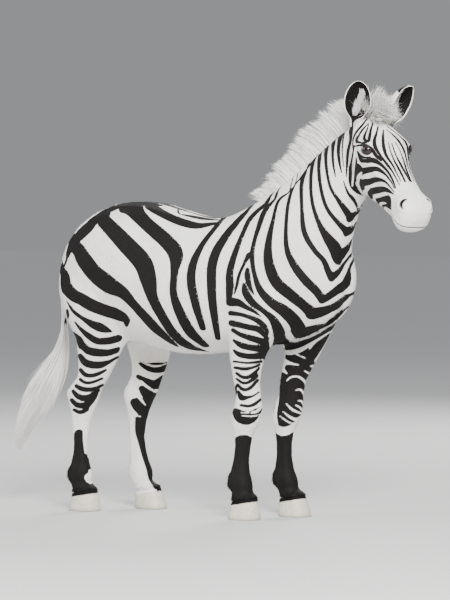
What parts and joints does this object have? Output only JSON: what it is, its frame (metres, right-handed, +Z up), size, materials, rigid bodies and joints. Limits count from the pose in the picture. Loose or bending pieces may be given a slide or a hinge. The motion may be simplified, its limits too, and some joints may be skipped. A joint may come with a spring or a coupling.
{
  "type": "plains zebra",
  "caption": "Life-size still model of a standing plains zebra, head turned to its right, with erect mane, forelock and hanging tufted tail.",
  "frame": {"origin": "on the floor, under the middle of the whole animal's box", "axes": "+X towards the head along the body, +Y to the animal's left, +Z up"},
  "size_m": [2.1905, 0.6298, 1.8343],
  "materials": {
    "striped_coat": "short flat hair, warm white with black-brown stripes",
    "ear_coat": "short hair, dark inside with a pale tuft and rim",
    "long_hair": "coarse white hair in pointed locks",
    "hoof_horn": "pale horn with faint growth rings",
    "eye": "wet, dark brown"
  },
  "bodies": {
    "root": {"hindquarters": "striped_coat", "barrel": "striped_coat", "shoulders": "striped_coat", "neck": "striped_coat", "head": "striped_coat", "leg_front_right_upper": "striped_coat", "leg_front_right_lower": "striped_coat", "hoof_front_right": "hoof_horn", "leg_front_left_upper": "striped_coat", "leg_front_left_lower": "striped_coat", "hoof_front_left": "hoof_horn", "leg_hind_right_upper": "striped_coat", "leg_hind_right_lower": "striped_coat", "hoof_hind_right": "hoof_horn", "leg_hind_left_upper": "striped_coat", "leg_hind_left_lower": "striped_coat", "hoof_hind_left": "hoof_horn", "ear_right": "ear_coat", "ear_left": "ear_coat", "eye_right": "eye", "eye_left": "eye", "mane": "long_hair", "forelock": "long_hair", "tail_dock": "striped_coat", "tail_tuft": "long_hair"}
  },
  "joints": []
}
